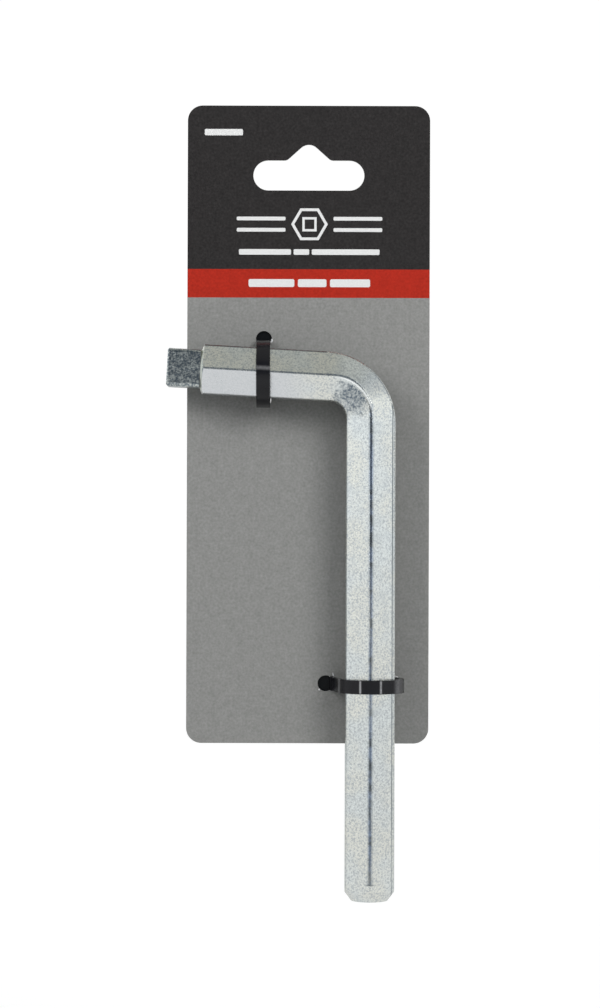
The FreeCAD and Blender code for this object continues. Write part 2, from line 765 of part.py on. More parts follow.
def pawl_tooth(point, heading, v):
    """One pawl tooth: the notch's own triangle, drawn in by the clearance and rooted in the tongue."""
    inward = Vector(-heading.y, heading.x, 0)
    half = v["tie_thickness"] / 2
    reach = v["tooth_pitch"] * NOTCH_SHARE_OF_PITCH
    clear = TOOTH_CLEARANCE
    rooted = half + v["pawl_gap"] + clear
    tip_height = half - v["tooth_depth"] + 2 * clear
    tooth_tip = point + inward * tip_height - heading * (reach - v["tooth_lean"] - clear)
    steep = point + inward * rooted - heading * (reach - clear)
    slope = point + inward * rooted + heading * (reach - 2 * clear)
    return rounded_loop([(tooth_tip, 0.0), (steep, 0.0), (slope, 0.0)])


def make_ties(document, v):
    """Both ties and their pawls, each pair in the plane of its own loop."""
    frame = card_frame(v)
    depth = -bar_axis_depth(v)
    tilt_slack = v["tie_width"] / 2 * math.tan(math.radians(v["short_arm_rise"]))
    upper = tie_layout(v["upper_tie_pull"] - v["upper_tie_head_hole"], tilt_slack, v)
    lower = tie_layout(v["lower_tie_pull"] - v["lower_tie_head_hole"], 0, v)
    upper_place = Placement(Vector(frame["upper_tie"].x, depth, frame["upper_tie"].z),
                            Rotation(Vector(0, 1, 0), 90))
    lower_place = Placement(Vector(frame["lower_tie"].x, depth, frame["lower_tie"].z), Rotation())
    pieces = []
    for prefix, layout, placement in (("upper", upper, upper_place), ("lower", lower, lower_place)):
        for piece in (make_cable_tie(document, f"{prefix}_cable_tie", layout, v),
                      make_pawl(document, f"{prefix}_tie_pawl", layout, v)):
            piece.Placement = placement
            pieces.append(piece)
        hinge = placement.multVec(pawl_hinge(layout, v))
        print(f"{prefix} pawl hinge at {hinge.x:.3f} {hinge.y:.3f} {hinge.z:.3f}")
    return pieces


# ---- the assembly ------------------------------------------------------------------------------------------


def check_and_write(document, pieces):
    """Refuse failed features and broken shapes, then write one STEP file for each piece."""
    document.recompute()
    for item in document.Objects:
        if "Invalid" in item.State or "Error" in item.State:
            raise ValueError(f"{item.Name} failed: {item.State}")
    os.makedirs("parts", exist_ok=True)
    for piece in pieces:
        shape = piece.Shape
        if shape.isNull() or not shape.isValid() or len(shape.Solids) != 1:
            raise ValueError(f"{piece.Label} is not one valid solid")
        shape.exportStep(f"parts/{piece.Label}.step")
        box = shape.BoundBox
        print(f"{piece.Label}: {shape.Volume:.2f} mm3, x {box.XMin:.2f} {box.XMax:.2f},"
              f" y {box.YMin:.2f} {box.YMax:.2f}, z {box.ZMin:.2f} {box.ZMax:.2f}")


def main():
    document = FreeCAD.newDocument("radiator_valve_spanner")
    sheet = make_sheet(document)
    v = {alias: float(sheet.get(alias)) for alias in SIZES}
    pieces = [make_hang_card(document, v), make_valve_spanner(document, v)]
    pieces += make_ties(document, v)
    check_and_write(document, pieces)


main()
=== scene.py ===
import math
import random

import bmesh
import bpy
from mathutils import Matrix, Quaternion, Vector


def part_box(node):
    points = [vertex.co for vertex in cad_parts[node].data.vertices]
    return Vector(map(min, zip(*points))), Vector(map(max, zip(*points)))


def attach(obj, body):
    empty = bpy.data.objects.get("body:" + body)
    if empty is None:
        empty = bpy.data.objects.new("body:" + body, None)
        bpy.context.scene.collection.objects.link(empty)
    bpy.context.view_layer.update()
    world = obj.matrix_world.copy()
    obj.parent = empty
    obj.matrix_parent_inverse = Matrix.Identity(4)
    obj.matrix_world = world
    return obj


# A radiator valve spanner on its hang card. Metres, in the CAD frame: +Z up, the front faces -Y.

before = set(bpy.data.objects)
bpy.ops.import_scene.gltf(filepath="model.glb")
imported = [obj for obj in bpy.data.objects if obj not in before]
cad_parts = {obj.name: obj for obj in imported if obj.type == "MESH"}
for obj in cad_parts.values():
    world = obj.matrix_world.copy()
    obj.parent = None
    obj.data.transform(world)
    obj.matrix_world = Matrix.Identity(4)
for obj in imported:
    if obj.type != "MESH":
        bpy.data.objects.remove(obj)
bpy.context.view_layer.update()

MM = 0.001
CARD_LOW, CARD_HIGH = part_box("hang_card")
BAR_LOW, BAR_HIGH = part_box("valve_spanner")
CARD_FRONT = CARD_LOW.y
CARD_TOP = CARD_HIGH.z
CARD_MIDDLE = (CARD_LOW + CARD_HIGH) / 2

# Places on the spanner: the axis of its long arm, the lower end of its bend, the rise of its short arm, the
# height at which the two ridges would meet, the radius of the ridge in the bend, how far along the short arm
# the square starts, where the end cone cuts into the long arm's ridge, and the middle and the reach of the
# patch that the bending crumples.
LONG_ARM_X = 16.45 * MM
BEND_END_Z = CARD_TOP - 80 * MM
SHORT_ARM_RISE = math.radians(3.1)
RIDGE_CORNER_Z = CARD_TOP - 73.2 * MM
RIDGE_BEND_RADIUS = 10.0 * MM
SQUARE_START = 44.9 * MM
RIDGE_END_Z = BAR_LOW.z + 5.0 * MM
CRUMPLE_X = 11.9 * MM
CRUMPLE_Z = CARD_TOP - 77.6 * MM
CRUMPLE_REACH = (6.0 * MM, 5.2 * MM)

# Places on the ties: the height of the lower one, the hole through which its strap goes to its head, where
# the strap lifts off the card beside that hole, how far from the ridge the strap's painted highlights lie,
# and the torn edge of the upper tie's hole.
LOWER_TIE_Z = CARD_LOW.z + 16.0 * MM
LOWER_HEAD_HOLE_X = LONG_ARM_X - 11.57 * MM
LOWER_LIFT_X = 8.3 * MM
STRAP_HIGHLIGHT_OFFSET = 2.7 * MM
UPPER_TEAR_X = -9.72 * MM
UPPER_TEAR_Z = CARD_TOP - 62.7 * MM

# The print: the black header and the red band under it.
HEADER_HEIGHT = 43.6 * MM
BAND_HEIGHT = 7.6 * MM
HEADER_FLOOR = CARD_TOP - HEADER_HEIGHT
BAND_FLOOR = HEADER_FLOOR - BAND_HEIGHT

# The camera stands square to the card, level with the middle of the pack, and is rolled very slightly.
CAMERA_DISTANCE = 700 * MM
CAMERA_AIM = Vector((-2.1 * MM, CARD_FRONT, CARD_MIDDLE.z - 21.2 * MM))
CAMERA_LENS = 93.75
CAMERA_ROLL = math.radians(0.18)

# The studio: the floor's distance below the spanner, its radius, and its own glow, as metal mirrors it and as
# the camera sees it at distances from the pack in metres; the bright edges of the soft boxes; and the
# backdrop, which is white for the camera.
FLOOR_DROP = 95 * MM
FLOOR_RADIUS = 6.0
FLOOR_MIRRORED = 0.98
FLOOR_GLOW = [(0.0, 1.31), (0.35, 1.35), (0.6, 1.45), (1.2, 1.52), (5.0, 1.59)]
RIM_LIGHT = 4.0
BACKDROP = 1.02


def linear(red, green, blue):
    """A colour given in 0-255 display values, as the linear RGBA that shaders take."""
    def channel(value):
        value /= 255
        return value / 12.92 if value <= 0.04045 else ((value + 0.055) / 1.055) ** 2.4
    return channel(red), channel(green), channel(blue), 1.0


# ---- node helpers --------------------------------------------------------------------------------


class Graph:
    """A material's or world's node tree, with short calls for the nodes that are used here."""

    def __init__(self, tree):
        self.tree = tree
        tree.nodes.clear()

    def node(self, kind, **settings):
        made = self.tree.nodes.new(kind)
        for name, value in settings.items():
            setattr(made, name, value)
        return made

    def link(self, value, socket):
        """Feed a socket from another socket, or set it to a plain value."""
        if isinstance(value, bpy.types.NodeSocket):
            self.tree.links.new(value, socket)
        else:
            socket.default_value = value

    def math(self, operation, first, second=0.0, third=0.0, clamp=False):
        made = self.node("ShaderNodeMath", operation=operation, use_clamp=clamp)
        for socket, value in zip(made.inputs, (first, second, third)):
            self.link(value, socket)
        return made.outputs[0]

    def mix(self, factor, first, second):
        made = self.node("ShaderNodeMix", data_type="RGBA")
        self.link(factor, made.inputs["Factor"])
        self.link(first, made.inputs[6])
        self.link(second, made.inputs[7])
        return made.outputs[2]

    def scaled(self, colour, level):
        """A colour or vector times a level."""
        made = self.node("ShaderNodeVectorMath", operation="SCALE")
        self.link(colour[:3] if isinstance(colour, tuple) else colour, made.inputs[0])
        self.link(level, made.inputs["Scale"])
        return made.outputs[0]

    def total(self, first, *others):
        """The sum of colours or vectors."""
        for other in others:
            made = self.node("ShaderNodeVectorMath", operation="ADD")
            self.link(first, made.inputs[0])
            self.link(other, made.inputs[1])
            first = made.outputs[0]
        return first

    def split(self, vector):
        """The X, Y and Z of a vector."""
        made = self.node("ShaderNodeSeparateXYZ")
        self.link(vector, made.inputs[0])
        return made.outputs

    def distance(self, across, up):
        """How far from the origin a point with these two coordinates lies."""
        return self.math("SQRT", self.math("ADD", self.math("MULTIPLY", across, across),
                                           self.math("MULTIPLY", up, up)))

    def near(self, value, centre, reach):
        """1 at a value of 'centre', falling smoothly to 0 at 'reach' away from it."""
        away = self.math("DIVIDE", self.math("ABSOLUTE", self.math("SUBTRACT", value, centre)), reach)
        made = self.node("ShaderNodeMapRange", interpolation_type="SMOOTHSTEP")
        self.link(away, made.inputs["Value"])
        made.inputs["To Min"].default_value = 1.0
        made.inputs["To Max"].default_value = 0.0
        return made.outputs[0]

    def place(self, scale=(1, 1, 1)):
        """The point on the object, in metres, stretched by a scale on each axis."""
        point = self.node("ShaderNodeTexCoord").outputs["Object"]
        if tuple(scale) == (1, 1, 1):
            return point
        stretched = self.node("ShaderNodeVectorMath", operation="MULTIPLY")
        self.link(point, stretched.inputs[0])
        stretched.inputs[1].default_value = scale
        return stretched.outputs[0]

    def noise(self, scale, detail=2.0, roughness=0.5, stretch=(1, 1, 1), offset=0.0):
        made = self.node("ShaderNodeTexNoise", noise_dimensions="4D")
        self.link(self.place(stretch), made.inputs["Vector"])
        made.inputs["W"].default_value = offset
        made.inputs["Scale"].default_value = scale
        made.inputs["Detail"].default_value = detail
        made.inputs["Roughness"].default_value = roughness
        return made.outputs["Fac"]

    def cells(self, scale, offset=0.0):
        made = self.node("ShaderNodeTexVoronoi", voronoi_dimensions="4D", feature="SMOOTH_F1")
        self.link(self.place(), made.inputs["Vector"])
        made.inputs["W"].default_value = offset
        made.inputs["Scale"].default_value = scale
        return made.outputs["Distance"]

    def ramp(self, value, stops, interpolation="EASE"):
        made = self.node("ShaderNodeValToRGB")
        made.color_ramp.interpolation = interpolation
        elements = made.color_ramp.elements
        while len(elements) < len(stops):
            elements.new(0.5)
        for element, (position, colour) in zip(elements, stops):
            element.position = position
            element.color = colour if isinstance(colour, tuple) else (colour, colour, colour, 1.0)
        self.link(value, made.inputs[0])
        return made.outputs[0]

    def bump(self, height, distance, strength, normal=None):
        made = self.node("ShaderNodeBump")
        self.link(height, made.inputs["Height"])
        made.inputs["Distance"].default_value = distance
        made.inputs["Strength"].default_value = strength
        if normal is not None:
            self.link(normal, made.inputs["Normal"])
        return made.outputs["Normal"]

    def surface(self, **inputs):
        """A Principled surface with these inputs, wired to the output."""
        shader = self.node("ShaderNodeBsdfPrincipled")
        for name, value in inputs.items():
            self.link(value, shader.inputs[name.replace("_", " ")])
        output = self.node("ShaderNodeOutputMaterial")
        self.link(shader.outputs[0], output.inputs["Surface"])
        return shader


def new_material(name):
    """A new material and its empty graph."""
    material = bpy.data.materials.new(name)
    material.use_nodes = True
    return material, Graph(material.node_tree)


def dress(piece, material):
    """Give a piece this material alone."""
    piece.data.materials.clear()
    piece.data.materials.append(material)


# ---- materials -----------------------------------------------------------------------------------


def zinc_plate():
    """
    Bright zinc over hexagon bar pulled through a die: fine crystals that sparkle, long drawing streaks, faint
    blue and straw tints, painted dark shade along the long arm's ridge and in thin lines along the edges, a
    painted highlight along the ridge in the bend, a lower facet tinted cooler as the reflection it shows, a
    crumpled patch in the bend painted dark, partly as shade, and the coarse dark skin of the forged square
    behind a shoulder painted pale as a highlight.
    """
    material, g = new_material("zinc_plate")
    point = g.split(g.place())
    x, z = point["X"], point["Z"]
    grain = g.noise(1900, 3.0, 0.66)
    crystals = g.cells(1350)
    blotch = g.noise(330, 3.0, 0.6, offset=3.0)
    streak = g.noise(420, 3.0, 0.55, stretch=(1, 1, 0.05), offset=5.0)
    tint = g.noise(90, 2.0, 0.5, offset=9.0)

    # Where a point lies: beside the long arm's ridge, above the corner where the ridges would meet, along the
    # short arm from there, and above the short arm's ridge.
    aside = g.math("SUBTRACT", x, LONG_ARM_X)
    above_corner = g.math("SUBTRACT", z, RIDGE_CORNER_Z)
    along = g.math("SUBTRACT", g.math("MULTIPLY", above_corner, math.sin(SHORT_ARM_RISE)),
                   g.math("MULTIPLY", aside, math.cos(SHORT_ARM_RISE)))
    above_ridge = g.math("MULTIPLY_ADD", aside, math.tan(SHORT_ARM_RISE), above_corner)
    straight = g.ramp(g.math("MULTIPLY", along, 1 / (50 * MM)), [(0.24, 0.0), (0.50, 1.0)])
    smooth = g.math("MULTIPLY", straight, g.math("LESS_THAN", above_ridge, 0.0))
    # The short arm's top edge past the bend, which is painted dark as shade.
    top_edge_shade = g.math("MULTIPLY", g.math("GREATER_THAN", along, 12 * MM),
                      g.math("GREATER_THAN", above_ridge, 6.05 * MM))
    forged = g.math("GREATER_THAN", along, SQUARE_START)
    shoulder_highlight = g.near(along, SQUARE_START - 0.35 * MM, 0.5 * MM)

    # The short arm's lower facet is painted cooler and a little darker, as the reflection it shows, and has
    # fewer speckles; elsewhere the plate is speckled and clouded.
    pale = g.mix(g.ramp(tint, [(0.38, 0.0), (0.62, 1.0)]), (0.86, 0.91, 0.90, 1), (0.91, 0.92, 0.85, 1))
    lower_facet_tone = g.mix(smooth, pale, (0.79, 0.812, 0.835, 1))
    speckle_depth = g.math("MULTIPLY_ADD", smooth, -0.7, 1.0)
    speckle = g.mix(g.math("MULTIPLY", g.ramp(grain, [(0.34, 1.0), (0.58, 0.0)]), speckle_depth), lower_facet_tone,
                    (0.56, 0.60, 0.62, 1))
    clouded = g.mix(g.math("MULTIPLY", g.ramp(blotch, [(0.50, 0.0), (0.72, 1.0)]), 0.45), speckle,
                    (0.64, 0.69, 0.71, 1))

    # The long arm's ridge is painted dark and streaked, as shade; thin dark lines are painted as shade along
    # the flank edges, and the short arm's top edge is painted dark as shade; there is a nick where the cone
    # cuts the ridge.
    above_cone = g.math("GREATER_THAN", z, RIDGE_END_Z)
    on_long_arm = g.math("MULTIPLY", g.math("LESS_THAN", z, BEND_END_Z), above_cone)
    ridge_line = g.math("MULTIPLY", g.near(aside, 0.0, 1.0 * MM), on_long_arm)
    ridge_shade = g.math("MULTIPLY", ridge_line, g.ramp(streak, [(0.38, 0.35), (0.58, 1.0)]))
    ridge_shaded = g.mix(ridge_shade, clouded, g.mix(g.ramp(blotch, [(0.40, 0.0), (0.62, 1.0)]), (0.26, 0.33, 0.45, 1),
                                          (0.10, 0.12, 0.14, 1)))
    # Thin dark lines painted as shade along the flank edges, broken by the streaks.
    right_line = g.near(aside, 5.72 * MM, 0.27 * MM)
    left_line = g.math("MULTIPLY", g.near(aside, -6.25 * MM, 0.18 * MM), 0.6)
    broken = g.math("MULTIPLY", g.ramp(streak, [(0.35, 0.4), (0.55, 1.0)]),
                    g.math("LESS_THAN", z, BEND_END_Z))
    edge_shade_lines = g.math("MULTIPLY", g.math("MAXIMUM", right_line, left_line), broken)
    nick = g.math("MULTIPLY", g.near(z, RIDGE_END_Z - 0.15 * MM, 0.4 * MM), g.near(aside, 0.0, 1.9 * MM))
    edge_shade_and_nick = g.math("MAXIMUM", edge_shade_lines, g.math("MAXIMUM", nick, g.math("MULTIPLY", top_edge_shade, 0.75)))
    lined = g.mix(edge_shade_and_nick, ridge_shaded, (0.20, 0.23, 0.25, 1))

    # In the bend a highlight is painted along the ridge, and the metal inside it is crumpled and painted
    # dark, partly as shade. 'out' is the distance from the centre of the ridge's bend, in its radii.
    out_x = g.math("DIVIDE", g.math("ADD", aside, RIDGE_BEND_RADIUS), RIDGE_BEND_RADIUS)
    out_z = g.math("DIVIDE", g.math("ADD", above_corner, RIDGE_BEND_RADIUS), RIDGE_BEND_RADIUS)
    out = g.distance(out_x, out_z)
    in_bend = g.math("MULTIPLY", g.ramp(out_x, [(0.0, 0.0), (0.35, 1.0)]),
                     g.ramp(out_z, [(0.0, 0.0), (0.35, 1.0)]))
    rim_highlight = g.math("MULTIPLY", g.near(out, 1.02, 0.038), in_bend)
    beside = g.math("DIVIDE", g.math("SUBTRACT", x, CRUMPLE_X), CRUMPLE_REACH[0])
    above = g.math("DIVIDE", g.math("SUBTRACT", z, CRUMPLE_Z), CRUMPLE_REACH[1])
    noise_broken = g.math("ADD", g.distance(beside, above), g.math("MULTIPLY_ADD", blotch, 2.4, -1.2))
    inside = g.ramp(out, [(0.93, 1.0), (0.99, 0.0)])
    crumple = g.math("MULTIPLY", g.ramp(noise_broken, [(0.40, 1.0), (1.0, 0.0)]), inside)
    # The crumpled patch's colour: dark crushed grain, partly painted shade.
    crushed_grain_and_shade = g.mix(g.ramp(grain, [(0.40, 0.0), (0.62, 1.0)]), (0.10, 0.14, 0.19, 1), (0.56, 0.60, 0.60, 1))
    with_bend_shade_and_highlight = g.mix(rim_highlight, g.mix(g.math("MULTIPLY", crumple, 0.92), lined, crushed_grain_and_shade), (0.93, 0.96, 0.95, 1))

    # The square is forged and dark, behind a shoulder painted pale and less metallic as a highlight.
    skin = g.mix(g.ramp(grain, [(0.42, 0.0), (0.62, 1.0)]), (0.20, 0.24, 0.27, 1), (0.68, 0.72, 0.69, 1))
    colour = g.mix(shoulder_highlight, g.mix(forged, with_bend_shade_and_highlight, skin), (0.82, 0.85, 0.77, 1))

    rough = g.math("MAXIMUM", g.math("MULTIPLY", crumple, 0.9), forged)
    satin = g.math("MULTIPLY_ADD", grain, 0.16, g.math("MULTIPLY_ADD", streak, 0.10, 0.12))
    roughness = g.math("MULTIPLY_ADD", shoulder_highlight, 0.3, g.math("MULTIPLY_ADD", rough, 0.06, satin))
    relief = g.math("ADD", g.math("MULTIPLY", crystals, 0.7), grain)
    fine = g.bump(relief, 0.05 * MM, 0.55)
    normal = g.bump(g.math("MULTIPLY", blotch, rough), 0.5 * MM, 0.5, fine)
    # The painted highlights on the rim and the shoulder are less metallic, so that their pale colour shows.
    metallic = g.math("MULTIPLY_ADD", g.math("MAXIMUM", shoulder_highlight, rim_highlight), -0.75, 1.0)
    g.surface(Base_Color=colour, Metallic=metallic, Roughness=roughness, Normal=normal)
    return material


def printed_card():
    """Matt printed board: black header, red band and grey field in front, bare behind, white cut edges."""
    material, g = new_material("printed_card")
    height = g.split(g.place())["Z"]
    facing = g.split(g.node("ShaderNodeTexCoord").outputs["Normal"])["Y"]
    mottle = g.noise(420, 4.0, 0.65)
    fleck = g.noise(1500, 2.0, 0.6, offset=2.0)
    shade = g.math("MULTIPLY_ADD", mottle, 0.40, g.math("MULTIPLY_ADD", fleck, 0.75, 0.425))
    above_band = g.math("GREATER_THAN", height, HEADER_FLOOR)
    above_field = g.math("GREATER_THAN", height, BAND_FLOOR)
    field = g.mix(above_field, linear(136, 136, 134), linear(168, 40, 26))
    inks = g.mix(above_band, field, linear(43, 41, 41))
    coarser_on_header = g.math("POWER", shade, g.math("ADD", above_band, 1.0))
    grained = g.scaled(inks, coarser_on_header)
    front = g.math("LESS_THAN", facing, -0.5)
    back = g.math("GREATER_THAN", facing, 0.5)
    fibre = g.noise(900, 4.0, 0.7, stretch=(1, 1, 0.35), offset=7.0)
    board = g.mix(fibre, linear(196, 192, 184), linear(226, 223, 216))
    core = g.mix(fibre, linear(214, 214, 212), linear(246, 246, 244))
    colour = g.mix(front, g.mix(back, core, board), grained)
    roughness = g.math("MULTIPLY_ADD", mottle, 0.14, 0.52)
    normal = g.bump(g.math("ADD", mottle, fleck), 0.02 * MM, 0.35)
    g.surface(Base_Color=colour, Roughness=roughness, Normal=normal, Specular_IOR_Level=0.2)
    return material


def black_nylon():
    """
    Moulded black nylon with a soft sheen. The straps have pale highlights painted where they cross the ridge
    of the bar, where they leave their holes and where they turn down, and painted shade inside the holes.
    """
    material, g = new_material("black_nylon")
    x, y, z = g.split(g.place())
    grain = g.noise(1800, 3.0, 0.6)
    haze = g.noise(300, 2.0, 0.5, offset=4.0)
    plain = g.mix(haze, (0.005, 0.005, 0.007, 1), (0.011, 0.011, 0.013, 1))

    # The lower strap has highlights painted on both sides of the ridge, short of its edges, and beside its
    # hole, and a painted sheen where it turns down at the right. The upper strap has a highlight painted
    # along the short arm's ridge.
    lower = g.math("LESS_THAN", z, CARD_MIDDLE.z)
    raised = g.math("LESS_THAN", y, CARD_FRONT - 7 * MM)
    inner = g.near(z, LOWER_TIE_Z, 3.0 * MM)
    aside = g.math("SUBTRACT", x, LONG_ARM_X)
    ridge_highlights = g.math("MULTIPLY", g.near(g.math("ABSOLUTE", aside), STRAP_HIGHLIGHT_OFFSET, 0.42 * MM), raised)
    ridge_highlights = g.math("MULTIPLY", ridge_highlights, g.ramp(inner, [(0.37, 0.0), (0.52, 1.0)]))
    lift_highlight = g.math("MULTIPLY", g.near(x, LOWER_LIFT_X, 0.35 * MM), 0.35)
    turned_side_sheen = g.math("MULTIPLY", g.near(aside, 7.2 * MM, 1.3 * MM), 0.32)
    lower_highlights = g.math("MAXIMUM", ridge_highlights, g.math("MAXIMUM", lift_highlight, turned_side_sheen))
    ridge = g.math("MULTIPLY_ADD", aside, -math.tan(SHORT_ARM_RISE), RIDGE_CORNER_Z)
    upper_highlight_band = g.near(g.math("SUBTRACT", z, ridge), 0.95 * MM, 0.85 * MM)
    upper_highlights = g.math("MULTIPLY", g.math("MULTIPLY", upper_highlight_band, raised), 0.36)
    pale = g.math("ADD", g.math("MULTIPLY", lower, lower_highlights),
                  g.math("MULTIPLY", g.math("SUBTRACT", 1.0, lower), upper_highlights))
    # The painted highlights are broken up by the grain.
    noise_broken = g.math("MULTIPLY", pale, g.ramp(grain, [(0.30, 0.55), (0.60, 1.0)]))

    # Inside the holes the nylon is painted near black as shade, and close to the card it mirrors less of the
    # red band.
    hole_shade = g.math("GREATER_THAN", y, CARD_FRONT - 0.25 * MM)
    colour = g.mix(hole_shade, g.mix(noise_broken, plain, (0.34, 0.34, 0.35, 1)), (0.003, 0.004, 0.005, 1))
    near_card = g.ramp(g.math("MULTIPLY_ADD", y, 1 / (3 * MM), 1.0), [(0.35, 0.0), (0.75, 1.0)])
    roughness = g.math("MULTIPLY_ADD", near_card, 0.45, g.math("MULTIPLY_ADD", grain, 0.12, 0.17))
    normal = g.bump(grain, 0.008 * MM, 0.3)
    g.surface(Base_Color=colour, Roughness=roughness, Normal=normal, IOR=1.5, Specular_IOR_Level=0.28)
    return material


def white_ink():
    """Screen-printed white: nearly opaque, a little broken where the board's fibres show."""
    material, g = new_material("white_ink")
    wear = g.noise(2200, 3.0, 0.6)
    colour = g.mix(wear, linear(206, 206, 206), linear(234, 234, 233))
    g.surface(Base_Color=colour, Roughness=g.math("MULTIPLY_ADD", wear, 0.2, 0.45), Specular_IOR_Level=0.3)
    return material


def torn_paper():
    """The board's white fibres where the punched holes are torn."""
    material, g = new_material("torn_paper")
    fibre = g.noise(3000, 4.0, 0.7, stretch=(1, 1, 0.4))
    colour = g.mix(fibre, linear(205, 206, 208), linear(246, 247, 249))
    g.surface(Base_Color=colour, Roughness=0.8, Normal=g.bump(fibre, 0.05 * MM, 0.6))
    return material


# ---- printed marks -------------------------------------------------------------------------------


# How far the faces of an ink plate and of a torn flake stand off the card, and how much of that is thickness.
INK_LIFT = 0.012 * MM
FLAKE_LIFT = 0.09 * MM
PLATE_SHARE = 0.9


def add_mesh(name, mesh):
    """A new object in the scene from a bmesh, which is freed."""
    data = bpy.data.meshes.new(name)
    mesh.to_mesh(data)
    mesh.free()
    made = bpy.data.objects.new(name, data)
    bpy.context.scene.collection.objects.link(made)
    return made


def plate(name, outline, holes=(), lift=INK_LIFT):
    """A thin plate just off the card's front, from an outline of (x, z) points and optional hole outlines."""
    mesh = bmesh.new()
    loops = []
    for ring in (outline, *holes):
        points = [mesh.verts.new((x, CARD_FRONT - lift, z)) for x, z in ring]
        loops += [mesh.edges.new((a, b)) for a, b in zip(points, points[1:] + points[:1])]
    filled = bmesh.ops.triangle_fill(mesh, edges=loops, use_beauty=True)
    faces = [item for item in filled["geom"] if isinstance(item, bmesh.types.BMFace)]
    grown = bmesh.ops.extrude_face_region(mesh, geom=faces)
    lifted = [item for item in grown["geom"] if isinstance(item, bmesh.types.BMVert)]
    bmesh.ops.translate(mesh, verts=lifted, vec=(0, lift * PLATE_SHARE, 0))
    bmesh.ops.recalc_face_normals(mesh, faces=mesh.faces)
    return add_mesh(name, mesh)


def rounded_bar(low_x, high_x, low_z, high_z, radius, steps=5):
    """The outline of a bar with round corners."""
    corners = [(high_x - radius, high_z - radius, 0), (low_x + radius, high_z - radius, 90),
               (low_x + radius, low_z + radius, 180), (high_x - radius, low_z + radius, 270)]
    points = []
    for x, z, start in corners:
        for step in range(steps + 1):
            angle = math.radians(start + 90 * step / steps)
            points.append((x + radius * math.cos(angle), z + radius * math.sin(angle)))
    return points


def polygon(centre_x, centre_z, reach, sides, turn=0.0):
    """The corners of a regular polygon, given its corner distance."""
    angles = [math.radians(turn + 360 * side / sides) for side in range(sides)]
    return [(centre_x + reach * math.cos(a), centre_z + reach * math.sin(a)) for a in angles]


def ink(name, outline, material, holes=()):
    """A plate of ink on the card's front."""
    made = plate(name, outline, holes)
    dress(made, material)
    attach(made, "root")


def word_row(name, left, right, middle_z, height, widths, material):
    """A row of plain bars, as wide as words, that fills the space between left and right."""
    gap, corner = height * 0.45, height * 0.22
    unit = (right - left - gap * (len(widths) - 1)) / sum(widths)
    x = left
    for number, width in enumerate(widths, start=1):
        end = x + unit * width
        outline = rounded_bar(x, end, middle_z - height / 2, middle_z + height / 2, corner)
        ink(f"{name}_{number}", outline, material)
        x = end + gap


def print_header(material):
    """Generic print in the places of the card's wording: plain bars, and a hexagon-and-square pictogram."""
    word_row("code_bar", -27.8 * MM, -17.6 * MM, CARD_TOP - 7.1 * MM, 1.7 * MM, [1.0], material)
    sign_x, sign_z = 0.2 * MM, CARD_TOP - 31.6 * MM
    for name, reach, line, sides, turn in (("hexagon_sign", 4.9 * MM, 0.85 * MM, 6, 0),
                                           ("square_sign", 2.7 * MM, 0.9 * MM, 4, 45)):
        ink(name, polygon(sign_x, sign_z, reach, sides, turn), material,
            [polygon(sign_x, sign_z, reach - line, sides, turn)])
    rule_start, rule_end, half_rule = 6.4 * MM, 19.4 * MM, 0.5 * MM
    for side, name in ((-1, "left"), (1, "right")):
        near, far = sign_x + side * rule_start, sign_x + side * rule_end
        for row, offset in (("upper", 1.5 * MM), ("lower", -1.5 * MM)):
            outline = rounded_bar(min(near, far), max(near, far), sign_z + offset - half_rule,
                                  sign_z + offset + half_rule, 0.3 * MM)
            ink(f"{name}_{row}_rule", outline, material)
    word_row("line_bar", -18.6 * MM, 18.9 * MM, CARD_TOP - 39.0 * MM, 1.5 * MM, [10, 3, 13], material)
    word_row("band_bar", -16.0 * MM, 16.4 * MM, CARD_TOP - 47.3 * MM, 2.1 * MM, [8, 5, 7], material)


# ---- torn board and moulding flash ---------------------------------------------------------------


def flake(name, x, z, width, height, turn, material):
    """A torn tuft of board fibre: a ragged flake of about this width and height, a little off the card."""
    ragged = random.Random(name)
    turn = math.radians(turn)
    outline = []
    points = 11
    for side in range(points):
        angle = 2 * math.pi * side / points
        reach = ragged.uniform(0.55, 1.0)
        along, across = reach * width / 2 * math.cos(angle), reach * height / 2 * math.sin(angle)
        outline.append((x + along * math.cos(turn) - across * math.sin(turn),
                        z + along * math.sin(turn) + across * math.cos(turn)))
    made = plate(name, outline, lift=FLAKE_LIFT)
    dress(made, material)
    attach(made, "root")


def tear_fibres(material):
    """White tufts at the edges of the punched holes, where the straps have pulled into the board."""
    hole_x, hole_z = LOWER_HEAD_HOLE_X, LOWER_TIE_Z
    flake("lower_hole_tuft", hole_x + 2.0 * MM, hole_z + 2.35 * MM, 0.55 * MM, 1.15 * MM, 12, material)
    flake("lower_hole_shred", hole_x - 1.75 * MM, hole_z - 1.65 * MM, 0.5 * MM, 0.6 * MM, 40, material)
    flake("upper_hole_tuft", UPPER_TEAR_X, UPPER_TEAR_Z, 0.6 * MM, 1.2 * MM, -8, material)


def window_gap_shade(material):
    """A dark nylon sheet put in the narrow gap between the lower strap and its head's window, standing in for
    the shade there.
    """
    middle = Vector((LOWER_HEAD_HOLE_X + 1.06 * MM, CARD_FRONT + 1.05 * MM, LOWER_TIE_Z))
    size = Vector((0.11, 0.3, 3.4)) * MM
    mesh = bmesh.new()
    bmesh.ops.create_cube(mesh, size=1.0, matrix=Matrix.LocRotScale(middle, None, size))
    made = add_mesh("window_gap_shade", mesh)
    dress(made, material)
    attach(made, "root")


# ---- camera, light and floor ---------------------------------------------------------------------


